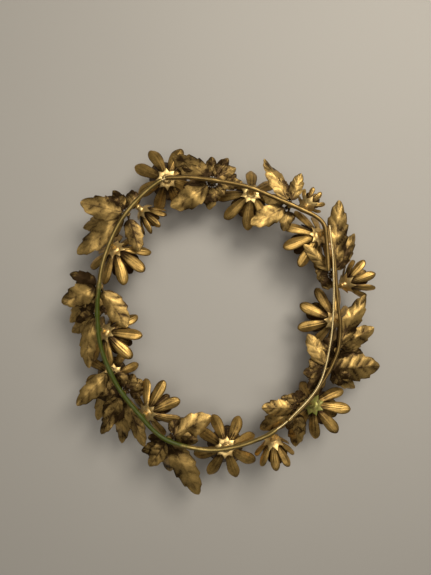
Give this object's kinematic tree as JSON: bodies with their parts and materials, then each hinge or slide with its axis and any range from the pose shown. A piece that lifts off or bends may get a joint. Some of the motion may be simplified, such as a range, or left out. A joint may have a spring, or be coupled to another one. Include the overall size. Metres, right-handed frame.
{
  "type": "flower crown",
  "caption": "Oval wire head wreath with gold-sprayed artificial daisies, star calyxes and serrated leaf sprays on moulded stems, worn round the top of the head.",
  "frame": {"origin": "middle of the hoop, in the plane of its wire", "axes": "+Z out of the back of the flowers, away from the floor the crown lies on; +Y to the top of the picture"},
  "size_m": [0.2224, 0.2479, 0.0375],
  "materials": {
    "wire": "bright gold spray paint on wire",
    "stem_bronze": "dark bronze-gold spray paint",
    "stem_green": "green plastic under thin gold spray paint",
    "glue": "clear amber hot glue",
    "petal": "satin gold spray paint",
    "calyx": "bright gold spray paint",
    "stamen": "satin gold spray paint",
    "leaf": "satin gold spray paint"
  },
  "bodies": {
    "crown": {"core_wire": "wire", "stem_top": "stem_bronze", "stem_left": "stem_green", "stem_right": "stem_bronze", "glue_overlap": "glue", "glue_lower": "glue", "leaf_spray_top": "leaf", "leaf_spray_top_right": "leaf", "leaf_spray_right_upper": "leaf", "leaf_spray_right_middle": "leaf", "leaf_spray_right_lower": "leaf", "leaf_spray_bottom_right": "leaf", "leaf_spray_bottom": "leaf", "leaf_spray_bottom_left": "leaf", "leaf_spray_left_lower": "leaf", "leaf_spray_left_middle": "leaf", "leaf_spray_left": "leaf", "leaf_spray_left_upper": "leaf"},
    "flower_01": {"flower_01_calyx": "calyx", "flower_01_petals": "petal", "flower_01_stamen": "stamen"},
    "flower_02": {"flower_02_calyx": "calyx", "flower_02_petals": "petal", "flower_02_stamen": "stamen"},
    "flower_03": {"flower_03_calyx": "calyx", "flower_03_petals": "petal", "flower_03_stamen": "stamen"},
    "flower_04": {"flower_04_calyx": "calyx", "flower_04_petals": "petal", "flower_04_stamen": "stamen"},
    "flower_05": {"flower_05_calyx": "calyx", "flower_05_petals": "petal", "flower_05_stamen": "stamen"},
    "flower_06": {"flower_06_calyx": "calyx", "flower_06_petals": "petal", "flower_06_stamen": "stamen"},
    "flower_07": {"flower_07_calyx": "calyx", "flower_07_petals": "petal", "flower_07_stamen": "stamen"},
    "flower_08": {"flower_08_calyx": "calyx", "flower_08_petals": "petal", "flower_08_stamen": "stamen"},
    "flower_09": {"flower_09_calyx": "calyx", "flower_09_petals": "petal", "flower_09_stamen": "stamen"},
    "flower_10": {"flower_10_calyx": "calyx", "flower_10_petals": "petal", "flower_10_stamen": "stamen"},
    "flower_11": {"flower_11_calyx": "calyx", "flower_11_petals": "petal", "flower_11_stamen": "stamen"},
    "flower_12": {"flower_12_calyx": "calyx", "flower_12_petals": "petal", "flower_12_stamen": "stamen"},
    "flower_13": {"flower_13_calyx": "calyx", "flower_13_petals": "petal", "flower_13_stamen": "stamen"},
    "flower_14": {"flower_14_calyx": "calyx", "flower_14_petals": "petal", "flower_14_stamen": "stamen"}
  },
  "joints": [
    {"name": "flower_01_swivel", "type": "hinge", "parent": "crown", "child": "flower_01", "pos_m": [0.02506, 0.08518, 0], "axis": [-0.0337, -0.2396, -0.9703], "range_deg": [-20, 20]},
    {"name": "flower_02_swivel", "type": "hinge", "parent": "crown", "child": "flower_02", "pos_m": [0.05925, 0.07059, 0], "axis": [0.5255, 0.5255, -0.6691], "range_deg": [-10, 20]},
    {"name": "flower_03_swivel", "type": "hinge", "parent": "crown", "child": "flower_03", "pos_m": [0.07508, 0.05557, 0], "axis": [-0.4531, -0.2113, -0.866], "range_deg": [-15, 3]},
    {"name": "flower_04_swivel", "type": "hinge", "parent": "crown", "child": "flower_04", "pos_m": [0.08315, 0.01769, -0.0024], "axis": [0.8297, 0.302, -0.4695], "range_deg": [-20, 20]},
    {"name": "flower_05_swivel", "type": "hinge", "parent": "crown", "child": "flower_05", "pos_m": [0.08544, -0.00599, -0.0024], "axis": [-0.3304, 0.0885, -0.9397], "range_deg": [-20, 20]},
    {"name": "flower_06_swivel", "type": "hinge", "parent": "crown", "child": "flower_06", "pos_m": [0.06319, -0.06103, -0.0024], "axis": [0.5043, -0.3531, -0.788], "range_deg": [-20, 20]},
    {"name": "flower_07_swivel", "type": "hinge", "parent": "crown", "child": "flower_07", "pos_m": [0.03824, -0.08126, 0], "axis": [0.1801, -0.8471, -0.5], "range_deg": [-10, 5]},
    {"name": "flower_08_swivel", "type": "hinge", "parent": "crown", "child": "flower_08", "pos_m": [0.00723, -0.09192, 0], "axis": [0, -0.2419, -0.9703], "range_deg": [-6, 12]},
    {"name": "flower_09_swivel", "type": "hinge", "parent": "crown", "child": "flower_09", "pos_m": [-0.05035, -0.07067, 0], "axis": [0.3771, 0.1524, -0.9135], "range_deg": [-15, 12]},
    {"name": "flower_10_swivel", "type": "hinge", "parent": "crown", "child": "flower_10", "pos_m": [-0.07045, -0.04235, 0], "axis": [-0.2193, -0.1022, -0.9703], "range_deg": [-15, 6]},
    {"name": "flower_11_swivel", "type": "hinge", "parent": "crown", "child": "flower_11", "pos_m": [-0.07998, -0.01011, 0], "axis": [0.3851, -0.3851, -0.8387], "range_deg": [-9, 20]},
    {"name": "flower_12_swivel", "type": "hinge", "parent": "crown", "child": "flower_12", "pos_m": [-0.07165, 0.04874, 0], "axis": [0.1863, -0.5118, -0.8387], "range_deg": [-20, 20]},
    {"name": "flower_13_swivel", "type": "hinge", "parent": "crown", "child": "flower_13", "pos_m": [-0.05539, 0.07488, 0], "axis": [0.6634, -0.5567, -0.5], "range_deg": [-20, 20]},
    {"name": "flower_14_swivel", "type": "hinge", "parent": "crown", "child": "flower_14", "pos_m": [-0.03344, 0.09185, 0], "axis": [-0.0711, 0.1954, -0.9781], "range_deg": [-20, 20]}
  ]
}
